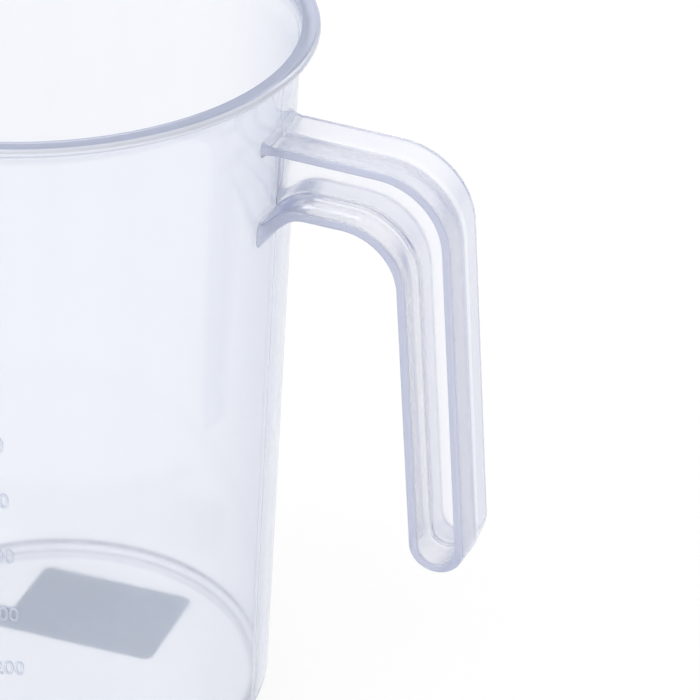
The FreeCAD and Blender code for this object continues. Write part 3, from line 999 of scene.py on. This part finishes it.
def digits_mesh(text_body):
    """Mesh of flat text, with its right end and its middle at the origin."""
    text = bpy.data.curves.new("digits", "FONT")
    text.body = text_body
    text.align_x, text.align_y = "RIGHT", "CENTER"
    text.size = numeral_size
    text.extrude, text.bevel_depth = numeral_core, numeral_bevel
    text.offset = -numeral_bevel / 2
    text.bevel_resolution = 0
    text.resolution_u = 3
    holder = bpy.data.objects.new("digits", text)
    flat = bpy.data.meshes.new_from_object(holder)
    bpy.data.objects.remove(holder)
    return flat


def numeral_mesh():
    lift_out = numeral_core + numeral_bevel - scale_sink
    points, faces = [], []
    for ml, z in levels:
        if ml % 100:
            continue
        flat = digits_mesh(str(ml))
        first = len(points)
        middle = z + numeral_lift.get(ml, other_lift)
        right_end = numeral_right - numeral_creep * (ml - 200)
        for v in flat.vertices:
            along = right_end + v.co.x * numeral_narrow
            points.append(on_wall(along, middle + v.co.y, v.co.z + lift_out))
        faces += [tuple(first + i for i in f.vertices) for f in flat.polygons]
        bpy.data.meshes.remove(flat)
    return mesh_piece("scale_numerals", points, faces, smooth=False)


numerals = numeral_mesh()
numerals.data.materials.append(numeral_plastic)
print("numerals:", len(numerals.data.polygons), "faces")

# %% [markdown]
# ## The label
#
# A plain film label is stuck under the base and seen through the floor. It keeps its
# solid's own mesh and gets a finish: a grey-blue film with faint mottling from the glue.

# %% Label film
def label_film():
    material, graph, shader = new_material("label_film")
    place = graph.add("TexCoord").outputs["Object"]
    mottle = graph.noise(place, 700.0, 6.0)
    film = graph.add("ValToRGB", {"Fac": mottle})
    dark, light = film.color_ramp.elements
    dark.position, light.position = 0.3, 0.7
    dark.color, light.color = (0.735, 0.84, 1.0, 1), (0.84, 0.92, 1.0, 1)
    graph.feed(shader, {
        "Base Color": film.outputs["Color"],
        "Normal": graph.bump(mottle, 0.02 * MM, 1.0),
        "Roughness": 0.55})
    return material


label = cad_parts["base_label"]
label.data.materials.clear()
label.data.materials.append(label_film())
print("label finish:", label.data.materials[0].name)

# %% [markdown]
# ## Floor
#
# The pitcher stands on a plain white sweep in soft light. Clear plastic mostly shows what
# is behind it, so near the pitcher the sweep is white for straight, reflected and bent
# rays alike. It is part diffuse, so it keeps a faint shadow. Far away, reflected and bent
# rays meet a dim room beyond the sweep, and that is what draws the plastic's edges.

# %% White sweep that keeps a shadow
white = (1, 1, 1)
dim_room = (0.36, 0.40, 0.60)
glow_share = 0.88         # the rest of the sweep is diffuse and takes the shadow
sweep_size = 4000.0
sweep_top = -0.02         # just under the pitcher


def seen_directly(graph):
    """1 for rays from the camera, reflections and refractions, 0 for the rest."""
    path = graph.add("LightPath").outputs
    return graph.most(path["Is Camera Ray"], path["Is Glossy Ray"], path["Is Transmission Ray"])


def room_tone(graph, lit):
    """White where lit is 1, the dim room where it is 0; always white to the camera."""
    camera_ray = graph.add("LightPath").outputs["Is Camera Ray"]
    return graph.tint(graph.most(lit, camera_ray), dim_room, white)


def floor_material():
    material, graph, shader = new_material("white_sweep")
    graph.feed(shader, {"Base Color": (0.95, 0.95, 0.95, 1), "Roughness": 0.9,
                        "Specular IOR Level": 0.0})
    place = graph.add("TexCoord").outputs["Object"]
    span = graph.add("VectorMath", {0: place}, operation="LENGTH").outputs["Value"]
    near = graph.ramp(span, 0.55, 1.3, 1.0, 0.0)
    glow = graph.add("Emission", {"Color": room_tone(graph, near), "Strength": 1.0})
    mix = graph.add("MixShader", {0: graph.times(seen_directly(graph), glow_share),
                                  1: shader.outputs[0], 2: glow.outputs[0]})
    graph.feed(graph.nodes["Material Output"], {"Surface": mix.outputs[0]})
    return material


corners = [(x, y, sweep_top) for x in (-sweep_size, sweep_size) for y in (-sweep_size, sweep_size)]
floor = mesh_piece("white_sweep", corners, [(0, 2, 3, 1)])
floor.data.materials.append(floor_material())
print("floor:", floor.name)

# %% [markdown]
# ## Light
#
# A light tent suits clear plastic, which mirrors every lamp. So the world lights the
# pitcher evenly from all sides, and one large lamp high on the left adds a soft direction.
# What reflected and bent rays see of the world is white above and a dim room low down.

# %% Surroundings
def surroundings():
    world = bpy.context.scene.world or bpy.data.worlds.new("surroundings")
    bpy.context.scene.world = world
    graph = ShaderGraph(world)
    graph.nodes.clear()
    direction = graph.add("TexCoord").outputs["Generated"]
    split = graph.add("SeparateXYZ", {0: direction})
    high = graph.ramp(split.outputs["Z"], 0.12, 0.5)
    seen = graph.add("Background", {"Color": room_tone(graph, high)})
    lit = graph.add("Background", {"Color": (*white, 1), "Strength": 1.0})
    mix = graph.add("MixShader", {0: seen_directly(graph), 1: lit.outputs[0],
                                  2: seen.outputs[0]})
    graph.add("OutputWorld", {"Surface": mix.outputs[0]})


surroundings()
bpy.context.scene.view_settings.view_transform = "Standard"
# Light runs along inside the strap and the lip for many reflections before it gets out.
paths = bpy.context.scene.cycles
paths.max_bounces, paths.transmission_bounces, paths.glossy_bounces = 32, 32, 24
print("most bounces of a ray:", paths.max_bounces)

# %% [markdown]
# The lamp is a wide disc, since a small one would draw hard bright spots on the handle.

# %% Key lamp
lamp_light = bpy.data.lights.new("key_lamp", "AREA")
lamp_light.shape = "DISK"
lamp_light.size = 1.6
lamp_light.energy = 14.0
key_lamp = bpy.data.objects.new("key_lamp", lamp_light)
lamp_place, lamp_target = Vector((-0.6, -0.7, 1.5)), Vector((0, 0, 0.08))
key_lamp.location = lamp_place
key_lamp.rotation_euler = (lamp_target - lamp_place).to_track_quat("-Z", "Y").to_euler()
bpy.context.scene.collection.objects.link(key_lamp)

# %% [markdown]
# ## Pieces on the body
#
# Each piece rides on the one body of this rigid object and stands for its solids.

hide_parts("base_panel", "base_corner", "standing_ring", "vessel_wall", "rim_flare",
            "rim_lip", "pour_spout")
handle_nodes = [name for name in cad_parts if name.startswith("handle_")]
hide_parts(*handle_nodes)
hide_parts("graduation_marks")
for piece, slot_name in ((vessel, "vessel"), (handle, "handle"), (scale_lines, "scale"),
                         (numerals, "scale")):
    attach(piece, "root")
